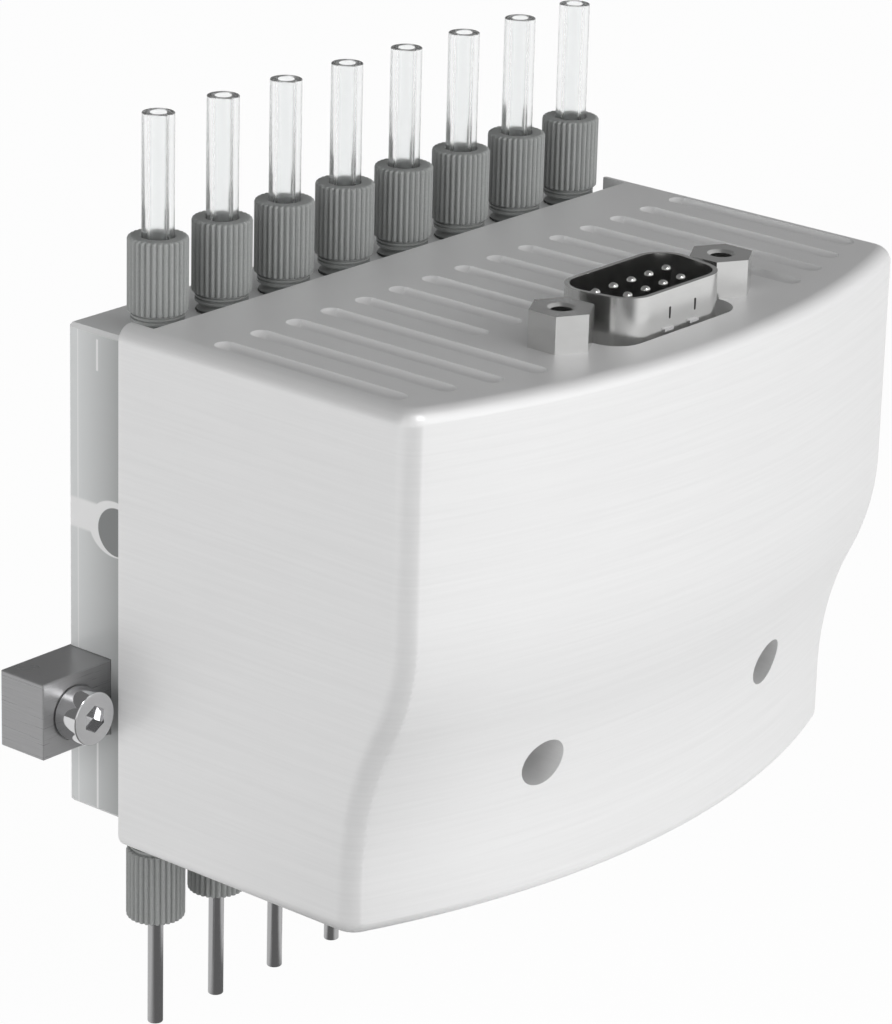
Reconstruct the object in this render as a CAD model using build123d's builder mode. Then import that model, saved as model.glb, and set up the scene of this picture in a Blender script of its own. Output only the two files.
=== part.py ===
"""Eight-channel valve island with a clear manifold, knurled fittings and dispensing needles.

Millimetres.  The origin is the centre of the manifold's rear face, which is flush with the
mounting bar.  +X runs along the row of channels, +Y points out of the rear face towards the
surface that the island is fixed to, and +Z is up, towards the supply tubes.
"""
from build123d import *
from math import acos, cos, degrees, pi, radians, sin, sqrt
import os

os.makedirs("parts", exist_ok=True)

# ---- driving dimensions -------------------------------------------------------------------
# channels
channel_count = 8
channel_pitch = 9.0
port_depth = 7.8              # from the rear face to the axis of the tubes and needles

# cover
cover_end = 6.5               # from the outermost channel to the cover's side
cover_half_height = 27.25
cover_wall = 1.8
cover_front_margin = 10.6     # from the connector's axis to the front
cover_rear = 8.85             # from the rear face to the edges of the side walls
cover_notch = 2.95            # how far the top and bottom walls stop short of the side walls
upper_radius = 102.0          # plan radius of the front's upper part
front_recess = 5.7            # how far the lower part stands back
shoulder_top = 5.0            # height at which the front starts to turn inwards
shoulder_convex = 26.0
shoulder_concave = 34.0
corner_radius = 2.7
rim_radius = 1.6
form_clearance = 0.15         # between the cover's walls and the manifold

# cooling grooves in the cover's top
groove_side_margin = 2.9      # least distance from an outer groove to the cover's side
groove_pitch = 5.0
groove_width = 2.2
groove_depth = 0.8
groove_rear = 18.9
groove_front_margin = 4.3     # between a long groove and the cover's front
groove_behind_connector = 7.0 # between a short groove and the connector's centre

# clear manifold
manifold_depth = 15.6
manifold_edge = 0.4
channel_bore = 1.2
port_length = 7.0             # down to the seat that a tube's flange is clamped on
seat_height = 7.0             # height of the valve seats
inlet_offset = 2.3            # from a valve seat up to its supply hole
outlet_run_depth = 9.8        # from the rear face to the passages that lead down

# screw fittings
thread_diameter = 5.0
thread_length = 8.05
thread_clearance = 0.08
knurl_rise = 0.5              # of the knurl above the thread
knurl_depth = 0.22
knurl_length = 7.5
knurl_count = 30
knurl_edge = 0.3              # bevel round the knurl's ends
neck_rise = 0.15              # of the neck above the thread
neck_length = 0.9
inlet_standoff = 1.9          # from the manifold's top to the knurl of a tube's nut
outlet_standoff = 4.2         # from the manifold's bottom to the knurl of a needle's nut
clamp_gap = 0.05

# tubes and needles
tube_diameter = 3.2
tube_bore = 1.6
tube_flange_rise = 0.7
tube_free_length = 12.2
needle_diameter = 1.6
needle_bore = 1.0
needle_free_length = 12.0
running_clearance = 0.05

# valves
valve_width = 8.2
valve_half_height = 11.9
valve_lug_length = 11.0
valve_length = 18.4
coil_half_height = 6.4
coil_edge = 0.6
chamber_radius = 3.0
chamber_depth = 1.2
seal_width = 0.8
seal_thickness = 0.8
plunger_diameter = 4.4
plunger_length = 12.0
plunger_room = 0.3            # behind a plunger that is fully drawn in
spring_pocket_diameter = 2.2
spring_pocket_length = 4.8
pad_diameter = 3.0
pad_length = 1.0
valve_travel = 0.5
seat_gap = 0.02
terminal_radius = 0.3
terminal_spacing = 6.0
terminal_length = 4.2

# circuit board
board_gap = 1.0               # from the valves to the board
board_thickness = 1.6
board_side_gap = 1.8          # between the board and the cover's side walls
board_top_gap = 2.45          # between the board and the cover's ceiling
board_corner = 1.5
board_hole_clearance = 0.15

# nine-pin connector, standard shell size
connector_gap = 5.8           # from the board to the connector's axis
shell_width = 17.92
shell_depth = 9.36
shell_slope = 10.0
shell_corner = 3.1
shell_wall = 0.5
shell_rise = 4.15             # above the cover's top
flange_end = 6.44             # of the flange beyond the shell's ends
flange_side = 1.57            # of the flange beyond the shell's sides
flange_thickness = 0.5
flange_corner = 1.0
jack_margin = 3.535           # from the shell's end to a jack post's axis
jack_across_flats = 5.8
jack_rise = 3.75
jack_thread = 2.84
jack_hole = 2.2
jack_countersink = 0.3
jack_stud_length = 5.3
clinch_nut_diameter = 4.8
clinch_nut_length = 2.5
pin_pitch = 2.77
pin_row_gap = 2.84
pin_diameter = 1.0
pin_tail_diameter = 0.7
pin_rise = 3.7
pin_dome = 0.45               # radius round a pin's end
pin_bend = 1.2
pin_shoulder = 1.0            # how far the tail reaches up into the pin
solder_length = 0.6           # of a pin's tail behind the board
pin_tail_drops = (1.65, 4.15) # of the rows' tails below the insulator
cutout_side_gap = 0.94        # between the shell and the ends of the cover's opening
cutout_front_gap = 0.52
insulator_margin = 0.54       # of the insulator's body beyond the shell's ends
insulator_height = 7.4
insulator_front = 1.0         # in front of the connector's shell
insulator_rise = 0.2          # of the socket's floor above the cover's ceiling

# mounting bar and screws
bar_reach = 7.4               # beyond the cover's sides
bar_depth = 5.9
bar_height = 8.0
bar_centre = -12.4            # height of the bar and its screws
bar_edge = 0.1
bar_tapped_depth = 4.0
mounting_reach = 3.15         # from the cover's side to a mounting screw
cover_screw_spacing = 36.0
cover_screw_height = -12.9
cover_bore = 5.0
cover_boss = 7.6
cover_boss_floor = 3.4

# socket-head screws
m2_diameter = 2.0
m2_overhang = 0.4             # of a screw's length over the manifold's depth
m2_head = 3.8
m2_socket = 1.5
m3_diameter = 3.0
m3_length = 8.0
m3_head = 5.5
m3_socket = 2.5
m3_counterbore = 0.15
screw_edge = 0.15
screw_clearance = 0.15
hole_end_room = 0.6           # beyond a screw's end in its tapped hole
thread_fit = 0.03             # between a plain shank and the tapped hole that it stands in

# captive nuts behind the manifold's rear face
insert_inset = 4.8            # from the cover's side to a captive nut
insert_height = 4.9
insert_diameter = 5.2
insert_length = 4.5
insert_bore = 2.5
insert_cover = 2.3            # thickness of the manifold's layer behind them

# ---- sizes that follow --------------------------------------------------------------------
channel_xs = [(k - (channel_count - 1) / 2) * channel_pitch for k in range(channel_count)]
cover_half_width = channel_xs[-1] + cover_end
manifold_half_width = cover_half_width - cover_wall - form_clearance
manifold_half_height = cover_half_height - cover_wall - form_clearance
ceiling = cover_half_height - cover_wall
port_floor = manifold_half_height - port_length
port_radius = thread_diameter / 2 + thread_clearance
knurl_radius = thread_diameter / 2 + knurl_rise
neck_radius = thread_diameter / 2 + neck_rise
flange_radius = tube_diameter / 2 + tube_flange_rise
inlet_knurl_bottom = manifold_half_height + inlet_standoff
outlet_knurl_top = -(manifold_half_height + outlet_standoff)
tube_top = inlet_knurl_bottom + knurl_length + tube_free_length
sleeve_end = outlet_knurl_top - knurl_length
needle_tip = sleeve_end - needle_free_length
lower_radius = upper_radius - front_recess
shoulder_turn = acos(1 - front_recess / (shoulder_convex + shoulder_concave))
shoulder_bottom = shoulder_top - (shoulder_convex + shoulder_concave) * sin(shoulder_turn)
valve_front = -manifold_depth - valve_length
valve_lug_front = -manifold_depth - valve_lug_length
valve_screw_offset = (coil_half_height + valve_half_height) / 2
board_rear = valve_front - board_gap
board_front = board_rear - board_thickness
board_half_width = cover_half_width - cover_wall - board_side_gap
board_top = ceiling - board_top_gap
board_bottom = seat_height - valve_half_height
connector_depth = connector_gap - board_front
front_axis = upper_radius - connector_depth - cover_front_margin
groove_count = 2 * int((cover_half_width - groove_side_margin) / groove_pitch) + 1
insert_x = cover_half_width - insert_inset
mounting_x = cover_half_width + mounting_reach
valve_screw_heights = (seat_height - valve_screw_offset, seat_height + valve_screw_offset)
m2_length = manifold_depth + m2_overhang
jack_spacing = shell_width + 2 * jack_margin
connector_xs = (-jack_spacing / 2, jack_spacing / 2)
jack_points = [(x, -connector_depth) for x in connector_xs]
terminal_heights = (seat_height - terminal_spacing / 2, seat_height + terminal_spacing / 2)
insert_points = [(-insert_x, insert_height), (insert_x, insert_height)]
mounting_points = [(-mounting_x, bar_centre), (mounting_x, bar_centre)]
cover_screw_points = [(side * cover_screw_spacing / 2, cover_screw_height) for side in (-1, 1)]
m2_clearance_radius = m2_diameter / 2 + screw_clearance
m2_tapped_radius = m2_diameter / 2 + thread_fit
m3_clearance_radius = m3_diameter / 2 + screw_clearance


def front_y(radius, x):
    """Y of the cover's front at a distance x from the middle."""
    return front_axis - sqrt(radius**2 - x**2)


def cover_form(inset, rear):
    """The cover's outer form, or the hollow inside it, set in from every outer face."""
    half_width = cover_half_width - inset
    half_height = cover_half_height - inset
    upper, lower = upper_radius - inset, lower_radius - inset
    convex, concave = shoulder_convex - inset, shoulder_concave + inset
    turn = degrees(shoulder_turn)
    section = Plane(origin=(0, front_axis, 0), x_dir=(0, -1, 0), z_dir=(-1, 0, 0))
    with BuildPart() as form:
        with BuildSketch(section):
            with BuildLine():
                Line((upper, half_height), (upper, shoulder_top))
                CenterArc((upper - convex, shoulder_top), convex, 0, -turn)
                CenterArc((lower + concave, shoulder_bottom), concave, 180 - turn, turn)
                Line((lower, shoulder_bottom), (lower, -half_height))
                Line((lower, -half_height), (0, -half_height))
                Line((0, -half_height), (0, half_height))
                Line((0, half_height), (upper, half_height))
            make_face()
        revolve(axis=Axis((0, front_axis, 0), (0, 0, 1)))
        with BuildSketch(Plane.XZ.offset(rear)):
            Rectangle(2 * half_width, 2 * half_height)
        extrude(amount=upper_radius, mode=Mode.INTERSECT)
        rear_edges = form.faces().sort_by(Axis.Y)[-1].edges()
        upright = form.edges().filter_by(lambda edge: abs(edge.center().X) > half_width - 0.5)
        upright = upright.filter_by(lambda edge: edge.bounding_box().size.Z > 1) - rear_edges
        fillet(upright, radius=corner_radius - inset)
        flat = form.edges().filter_by(lambda edge: abs(edge.center().Z) > half_height - 0.01)
        fillet(flat - form.faces().sort_by(Axis.Y)[-1].edges(), radius=max(rim_radius - inset, 0.3))
    return form.part


def cap_screw(diameter, length, head_diameter, socket):
    """Socket-head screw along +Y, with its head's seat at the origin and a head as high as the
    screw is thick."""
    with BuildPart() as screw:
        with BuildSketch(Plane.XZ):
            Circle(head_diameter / 2)
        extrude(amount=diameter)
        chamfer(screw.faces().sort_by(Axis.Y)[0].edges(), length=screw_edge)
        with BuildSketch(Plane.XZ):
            Circle(diameter / 2)
        extrude(amount=-length)
        with BuildSketch(Plane.XZ.offset(diameter)):
            RegularPolygon(socket / 2, 6, major_radius=False)
        extrude(amount=-diameter / 2, mode=Mode.SUBTRACT)
    return screw.part


def save(part, name):
    part.label = name
    export_step(part, f"parts/{name}.step")


def save_group(pieces, name):
    group = Compound(children=[copy.solid() for copy in pieces])
    save(group, name)


# ---- cover --------------------------------------------------------------------------------
groove_radius = (groove_width**2 / 4 + groove_depth**2) / (2 * groove_depth)
groove_centre = cover_half_height - groove_depth + groove_radius
with BuildPart() as grooves:
    for index in range(groove_count):
        x = (index - (groove_count - 1) / 2) * groove_pitch
        if abs(x) < jack_spacing / 2 + jack_across_flats:
            front = -connector_depth + groove_behind_connector
        else:
            front = front_y(upper_radius, x) + groove_front_margin
        with BuildSketch(Plane(origin=(x, 0, groove_centre))) as outline:
            with Locations((0, (front - groove_rear) / 2)):
                SlotOverall(-groove_rear - front, 2 * groove_radius, rotation=90)
            split(bisect_by=Plane.YZ, keep=Keep.TOP)
        revolve(axis=Axis((x, 0, groove_centre), (0, 1, 0)))

boss_back = manifold_depth + form_clearance
with BuildPart() as cover:
    add(cover_form(0, cover_rear))
    add(cover_form(cover_wall, cover_rear), mode=Mode.SUBTRACT)

    # the top and bottom walls stop short, so that the nuts pass behind them
    with BuildSketch(Plane.XZ.offset(cover_rear)):
        Rectangle(2 * (cover_half_width - cover_wall), 3 * cover_half_height)
    extrude(amount=cover_notch, mode=Mode.SUBTRACT)

    # hollow posts that carry the cover's screws against the manifold
    with BuildSketch(Plane.XZ.offset(boss_back)):
        with Locations(cover_screw_points):
            Circle(cover_boss / 2)
    extrude(until=Until.NEXT)
    with BuildSketch(Plane.XZ.offset(boss_back + cover_boss_floor)):
        with Locations(cover_screw_points):
            Circle(cover_bore / 2)
    extrude(amount=upper_radius, mode=Mode.SUBTRACT)
    with BuildSketch(Plane.XZ.offset(boss_back)):
        with Locations(cover_screw_points):
            Circle(m2_clearance_radius)
    extrude(amount=cover_boss_floor, mode=Mode.SUBTRACT)

    # opening for the connector's shell, and holes for its jack posts
    with BuildSketch(Plane.XY.offset(ceiling)):
        with Locations((0, -connector_depth)):
            RectangleRounded(shell_width + 2 * cutout_side_gap, shell_depth + 2 * cutout_front_gap,
                             shell_corner)
        with Locations(jack_points):
            Circle(jack_thread / 2 + screw_clearance)
    extrude(amount=2 * cover_wall, mode=Mode.SUBTRACT)

    # shallow cooling grooves with round bottoms and ends
    add(grooves.part, mode=Mode.SUBTRACT)
save(cover.part, "cover")

# ---- clear manifold -----------------------------------------------------------------------
inlet_run = seat_height + inlet_offset
with BuildPart() as manifold_block:
    with BuildSketch(Plane.XZ):
        Rectangle(2 * manifold_half_width, 2 * manifold_half_height)
    extrude(amount=manifold_depth)
    chamfer(manifold_block.edges(), length=manifold_edge)

    # channel across the rear face for the mounting bar
    with BuildSketch(Plane.XZ):
        with Locations((0, bar_centre)):
            Rectangle(3 * manifold_half_width, bar_height + 2 * clamp_gap)
    extrude(amount=bar_depth + clamp_gap, mode=Mode.SUBTRACT)

    # ports for the fittings, above and below
    for side in (1, -1):
        with BuildSketch(Plane.XY.offset(side * port_floor)):
            with Locations([(x, -port_depth) for x in channel_xs]):
                Circle(port_radius)
        extrude(amount=side * manifold_half_height, mode=Mode.SUBTRACT)

    # supply passages: down from each port, then forward to the valve's chamber
    with BuildSketch(Plane.XY.offset(inlet_run)):
        with Locations([(x, -port_depth) for x in channel_xs]):
            Circle(channel_bore / 2)
    extrude(amount=port_floor - inlet_run, mode=Mode.SUBTRACT)
    with BuildSketch(Plane.XZ.offset(port_depth)):
        with Locations([(x, inlet_run) for x in channel_xs]):
            Circle(channel_bore / 2)
    extrude(amount=manifold_depth - port_depth, mode=Mode.SUBTRACT)

    # outlet passages: back from each valve's seat, then down to the needle's port
    with BuildSketch(Plane.XZ.offset(outlet_run_depth)):
        with Locations([(x, seat_height) for x in channel_xs]):
            Circle(channel_bore / 2)
    extrude(amount=manifold_depth - outlet_run_depth, mode=Mode.SUBTRACT)
    with BuildSketch(Plane.XY.offset(-port_floor)):
        with Locations([(x, -outlet_run_depth) for x in channel_xs]):
            Circle(channel_bore / 2)
    extrude(amount=port_floor + seat_height, mode=Mode.SUBTRACT)

    # tapped holes for the valves, clearance holes for the cover's screws
    tapped_depth = m2_length - valve_lug_length + hole_end_room
    with BuildSketch(Plane.XZ.offset(manifold_depth - tapped_depth)):
        with Locations([(x, z) for x in channel_xs for z in valve_screw_heights]):
            Circle(m2_tapped_radius)
    extrude(amount=tapped_depth, mode=Mode.SUBTRACT)
    with BuildSketch(Plane.XZ):
        with Locations(cover_screw_points):
            Circle(m2_clearance_radius)
    extrude(amount=manifold_depth, mode=Mode.SUBTRACT)

    # pockets that hold the captive nuts, open to the rear face
    with BuildSketch(Plane.XZ.offset(insert_cover)):
        with Locations(insert_points):
            Circle(insert_diameter / 2 + thread_fit)
    extrude(amount=insert_length + clamp_gap, mode=Mode.SUBTRACT)
    with BuildSketch(Plane.XZ):
        with Locations(insert_points):
            Circle(m3_clearance_radius)
    extrude(amount=insert_cover, mode=Mode.SUBTRACT)
save(manifold_block.part, "manifold_block")

with BuildPart() as threaded_insert:
    with BuildSketch(Plane.XZ.offset(insert_cover)):
        Circle(insert_diameter / 2)
        Circle(insert_bore / 2, mode=Mode.SUBTRACT)
    extrude(amount=insert_length)
save_group([threaded_insert.part.moved(Location((x, 0, z))) for x, z in insert_points],
           "threaded_inserts")

# ---- screw fittings -----------------------------------------------------------------------
with BuildPart() as fitting_nut:
    # the knurl's ridges, bevelled at both ends
    with BuildSketch():
        with BuildLine():
            ridge_angle = pi / knurl_count
            radii = (knurl_radius, knurl_radius - knurl_depth)
            Polyline([(radii[i % 2] * cos(i * ridge_angle), radii[i % 2] * sin(i * ridge_angle))
                      for i in range(2 * knurl_count)], close=True)
        make_face()
    extrude(amount=knurl_length)
    with BuildSketch(Plane.XZ):
        with BuildLine():
            Polyline((0, 0), (knurl_radius - knurl_edge, 0), (knurl_radius, knurl_edge),
                     (knurl_radius, knurl_length - knurl_edge),
                     (knurl_radius - knurl_edge, knurl_length), (0, knurl_length), close=True)
        make_face()
    revolve(axis=Axis.Z, mode=Mode.INTERSECT)
    with BuildSketch():
        Circle(neck_radius)
    extrude(amount=-neck_length)
    with BuildSketch():
        Circle(thread_diameter / 2)
    extrude(amount=-thread_length)
    with BuildSketch(Plane.XY.offset(-thread_length)):
        Circle(tube_diameter / 2 + running_clearance)
    extrude(amount=thread_length + knurl_length, mode=Mode.SUBTRACT)

with BuildPart() as inlet_tube:
    with BuildSketch(Plane.XY.offset(port_floor)):
        Circle(flange_radius)
    extrude(amount=inlet_knurl_bottom - thread_length - clamp_gap - port_floor)
    with BuildSketch(Plane.XY.offset(port_floor)):
        Circle(tube_diameter / 2)
    extrude(amount=tube_top - port_floor)
    with BuildSketch(Plane.XY.offset(port_floor)):
        Circle(tube_bore / 2)
    extrude(amount=tube_top - port_floor, mode=Mode.SUBTRACT)

# a needle is brazed into a sleeve whose collar is clamped in the port
with BuildPart() as needle:
    with BuildSketch(Plane.XY.offset(-port_floor)):
        Circle(flange_radius)
    extrude(amount=outlet_knurl_top + thread_length + clamp_gap + port_floor)
    with BuildSketch(Plane.XY.offset(-port_floor)):
        Circle(tube_diameter / 2)
    extrude(amount=sleeve_end + port_floor)
    with BuildSketch(Plane.XY.offset(-port_floor)):
        Circle(needle_diameter / 2)
    extrude(amount=needle_tip + port_floor)
    with BuildSketch(Plane.XY.offset(-port_floor)):
        Circle(needle_bore / 2)
    extrude(amount=needle_tip + port_floor, mode=Mode.SUBTRACT)

# ---- valves -------------------------------------------------------------------------------
plunger_start = manifold_depth + seat_gap + pad_length
plunger_end = plunger_start + plunger_length
with BuildPart() as valve:
    with BuildSketch(Plane.YZ):
        with Locations((-manifold_depth - valve_lug_length / 2, seat_height)):
            Rectangle(valve_lug_length, 2 * valve_half_height)
        with Locations((-manifold_depth - valve_length / 2, seat_height)):
            Rectangle(valve_length, 2 * coil_half_height)
    extrude(amount=valve_width / 2, both=True)
    chamfer(valve.faces().sort_by(Axis.Y)[0].edges(), length=coil_edge)

    # the port face: a round chamber, its seal's groove and the plunger's bore
    with BuildSketch(Plane.XZ.offset(manifold_depth)):
        with Locations((0, seat_height)):
            Circle(chamber_radius)
    extrude(amount=chamber_depth, mode=Mode.SUBTRACT)
    with BuildSketch(Plane.XZ.offset(manifold_depth)):
        with Locations((0, seat_height)):
            Circle(chamber_radius + seal_width + thread_fit)
    extrude(amount=seal_thickness, mode=Mode.SUBTRACT)
    with BuildSketch(Plane.XZ.offset(manifold_depth)):
        with Locations((0, seat_height)):
            Circle(plunger_diameter / 2 + running_clearance)
    extrude(amount=plunger_end - manifold_depth + valve_travel + plunger_room, mode=Mode.SUBTRACT)

    with BuildSketch(Plane.XZ.offset(manifold_depth)):
        with Locations([(0, z) for z in valve_screw_heights]):
            Circle(m2_clearance_radius)
    extrude(amount=valve_lug_length, mode=Mode.SUBTRACT)

    # two terminals, soldered through the circuit board
    with BuildSketch(Plane.XZ.offset(-valve_front)):
        with Locations([(0, z) for z in terminal_heights]):
            Circle(terminal_radius)
    extrude(amount=terminal_length)

with BuildPart() as valve_plunger:
    with BuildSketch(Plane.XZ.offset(manifold_depth + seat_gap)):
        with Locations((0, seat_height)):
            Circle(pad_diameter / 2)
    extrude(amount=pad_length)
    with BuildSketch(Plane.XZ.offset(plunger_start)):
        with Locations((0, seat_height)):
            Circle(plunger_diameter / 2)
    extrude(amount=plunger_length)
    # pocket for the return spring
    with BuildSketch(Plane.XZ.offset(plunger_end - spring_pocket_length)):
        with Locations((0, seat_height)):
            Circle(spring_pocket_diameter / 2)
    extrude(amount=spring_pocket_length, mode=Mode.SUBTRACT)

with BuildPart() as valve_seal:
    with BuildSketch(Plane.XZ.offset(manifold_depth)):
        with Locations((0, seat_height)):
            Circle(chamber_radius + seal_width)
            Circle(chamber_radius, mode=Mode.SUBTRACT)
    extrude(amount=seal_thickness)

# ---- one set of pieces for each channel ---------------------------------------------------
for number, x in enumerate(channel_xs, 1):
    axis = Location((x, -port_depth, 0))
    save(fitting_nut.part.moved(axis * Location((0, 0, inlet_knurl_bottom))), f"inlet_nut_{number}")
    save(inlet_tube.part.moved(axis), f"inlet_tube_{number}")
    flipped = Location((0, 0, outlet_knurl_top), (180, 0, 0))
    save(fitting_nut.part.moved(axis * flipped), f"outlet_nut_{number}")
    save(needle.part.moved(axis), f"needle_{number}")
    save(valve.part.moved(Location((x, 0, 0))), f"valve_{number}")
    save(valve_plunger.part.moved(Location((x, 0, 0))), f"valve_plunger_{number}")
save_group([valve_seal.part.moved(Location((x, 0, 0))) for x in channel_xs], "valve_seals")

# ---- connector ----------------------------------------------------------------------------
rim = cover_half_height + shell_rise
socket_floor = ceiling + insulator_rise
flange_bottom = ceiling - flange_thickness
row_depths = (connector_depth - pin_row_gap / 2, connector_depth + pin_row_gap / 2)
pin_points = []
for row, count in ((0, 5), (1, 4)):
    for index in range(count):
        pin_points.append(((index - (count - 1) / 2) * pin_pitch, row))


def shell_outline(margin):
    """D-shaped outline of the connector's shell, drawn in by a margin, wide side to the rear."""
    half_depth = shell_depth / 2 - margin
    slope = sin(radians(shell_slope)) / cos(radians(shell_slope))
    middle = shell_width / 2 - margin - shell_depth / 2 * slope
    with BuildSketch() as outline:
        with BuildLine():
            Polyline((middle + half_depth * slope, half_depth), (-middle - half_depth * slope, half_depth),
                     (-middle + half_depth * slope, -half_depth), (middle - half_depth * slope, -half_depth),
                     close=True)
        make_face()
        fillet(outline.vertices(), radius=shell_corner - margin)
    return outline.sketch


with BuildPart() as connector_shell:
    with BuildSketch(Plane.XY.offset(flange_bottom)):
        with Locations((0, -connector_depth)):
            add(shell_outline(0))
    extrude(amount=rim - flange_bottom)
    with BuildSketch(Plane.XY.offset(flange_bottom)):
        with Locations((0, -connector_depth)):
            RectangleRounded(shell_width + 2 * flange_end, shell_depth + 2 * flange_side,
                             flange_corner)
    extrude(amount=flange_thickness)
    # clinched nuts for the jack posts
    with BuildSketch(Plane.XY.offset(flange_bottom)):
        with Locations(jack_points):
            Circle(clinch_nut_diameter / 2)
    extrude(amount=-clinch_nut_length)
    with BuildSketch(Plane.XY.offset(flange_bottom)):
        with Locations((0, -connector_depth)):
            add(shell_outline(shell_wall))
    extrude(amount=rim - flange_bottom, mode=Mode.SUBTRACT)
    with BuildSketch(Plane.XY.offset(ceiling)):
        with Locations(jack_points):
            Circle(jack_thread / 2 + running_clearance)
    extrude(amount=-flange_thickness - clinch_nut_length, mode=Mode.SUBTRACT)
save(connector_shell.part, "connector_shell")

with BuildPart() as connector_insulator:
    body_depth = connector_depth + shell_depth / 2 + insulator_front + board_front
    with BuildSketch(Plane.XY.offset(flange_bottom)):
        with Locations((0, board_front - body_depth / 2)):
            Rectangle(shell_width + 2 * insulator_margin, body_depth)
    extrude(amount=-insulator_height)
    with BuildSketch(Plane.XY.offset(flange_bottom)):
        with Locations((0, -connector_depth)):
            add(shell_outline(shell_wall + thread_fit))
    extrude(amount=socket_floor - flange_bottom)
    with BuildSketch(Plane.XY.offset(socket_floor)):
        with Locations([(x, -row_depths[row]) for x, row in pin_points]):
            Circle(pin_diameter / 2 + thread_fit)
    extrude(amount=-2 * insulator_height, mode=Mode.SUBTRACT)
save(connector_insulator.part, "connector_insulator")

pin_top = cover_half_height + pin_rise
pin_foot = flange_bottom - insulator_height
pin_tail_heights = [pin_foot - drop for drop in pin_tail_drops]
pins = []
for row in (0, 1):
    tail = pin_tail_heights[row]
    with BuildPart() as connector_pin:
        with BuildSketch(Plane.XY.offset(pin_foot)):
            with Locations((0, -row_depths[row])):
                Circle(pin_diameter / 2)
        extrude(amount=pin_top - pin_foot)
        fillet(connector_pin.faces().sort_by(Axis.Z)[-1].edges(), radius=pin_dome)
        # the tail turns back into the circuit board
        with BuildLine(Plane.YZ):
            FilletPolyline((-row_depths[row], pin_foot + pin_shoulder), (-row_depths[row], tail),
                           (board_rear + solder_length, tail), radius=pin_bend)
        with BuildSketch(Plane(origin=(0, -row_depths[row], pin_foot + pin_shoulder))):
            Circle(pin_tail_diameter / 2)
        sweep()
    own_xs = [x for x, own_row in pin_points if own_row == row]
    pins += [connector_pin.part.moved(Location((x, 0, 0))) for x in own_xs]
save_group(pins, "connector_pins")

with BuildPart() as jack_post:
    with BuildSketch(Plane.XY.offset(cover_half_height)):
        RegularPolygon(jack_across_flats / 2, 6, major_radius=False, rotation=30)
    extrude(amount=jack_rise)
    with BuildSketch(Plane.XY.offset(cover_half_height)):
        Circle(jack_thread / 2)
    extrude(amount=-jack_stud_length)
    with BuildSketch(Plane.XY.offset(cover_half_height + jack_rise)):
        Circle(jack_hole / 2)
    extrude(amount=-jack_rise, mode=Mode.SUBTRACT)
    chamfer(jack_post.faces().sort_by(Axis.Z)[-1].edges().filter_by(GeomType.CIRCLE),
            length=jack_countersink)
save_group([jack_post.part.moved(Location(point)) for point in jack_points], "jack_posts")

# ---- circuit board ------------------------------------------------------------------------
with BuildPart() as circuit_board:
    with BuildSketch(Plane.XZ.offset(-board_rear)):
        with Locations((0, (board_top + board_bottom) / 2)):
            RectangleRounded(2 * board_half_width, board_top - board_bottom, board_corner)
        with Locations([(x, z) for x in channel_xs for z in terminal_heights]):
            Circle(terminal_radius + board_hole_clearance, mode=Mode.SUBTRACT)
        with Locations([(x, pin_tail_heights[row]) for x, row in pin_points]):
            Circle(pin_tail_diameter / 2 + board_hole_clearance, mode=Mode.SUBTRACT)
    extrude(amount=board_thickness)
save(circuit_board.part, "circuit_board")

# ---- mounting bar and screws --------------------------------------------------------------
with BuildPart() as mounting_bar:
    with BuildSketch(Plane.XZ):
        with Locations((0, bar_centre)):
            Rectangle(2 * (cover_half_width + bar_reach), bar_height)
    extrude(amount=bar_depth)
    chamfer(mounting_bar.edges(), length=bar_edge)
    with BuildSketch(Plane.XZ):
        with Locations(mounting_points):
            Circle(m3_clearance_radius)
    extrude(amount=bar_depth, mode=Mode.SUBTRACT)
    with BuildSketch(Plane.XZ.offset(bar_depth - m3_counterbore)):
        with Locations(mounting_points):
            Circle(m3_head / 2 + screw_clearance)
    extrude(amount=m3_counterbore, mode=Mode.SUBTRACT)
    with BuildSketch(Plane.XZ.offset(bar_depth - bar_tapped_depth)):
        with Locations(cover_screw_points):
            Circle(m2_tapped_radius)
    extrude(amount=bar_tapped_depth, mode=Mode.SUBTRACT)
save(mounting_bar.part, "mounting_bar")

m3_screw = cap_screw(m3_diameter, m3_length, m3_head, m3_socket)
m3_places = [(x, -bar_depth + m3_counterbore, z) for x, z in mounting_points]
save_group([m3_screw.moved(Location(place)) for place in m3_places], "m3_cap_screws")

m2_screw = cap_screw(m2_diameter, m2_length, m2_head, m2_socket)
m2_places = [(x, valve_lug_front, z) for x in channel_xs for z in valve_screw_heights]
m2_places += [(x, -boss_back - cover_boss_floor, z) for x, z in cover_screw_points]
save_group([m2_screw.moved(Location(place)) for place in m2_places], "m2_cap_screws")
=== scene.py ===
from math import acos, asin, cos, hypot, pi, radians, sin, tau

import bmesh
import bpy
from mathutils import Matrix, Vector


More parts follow.
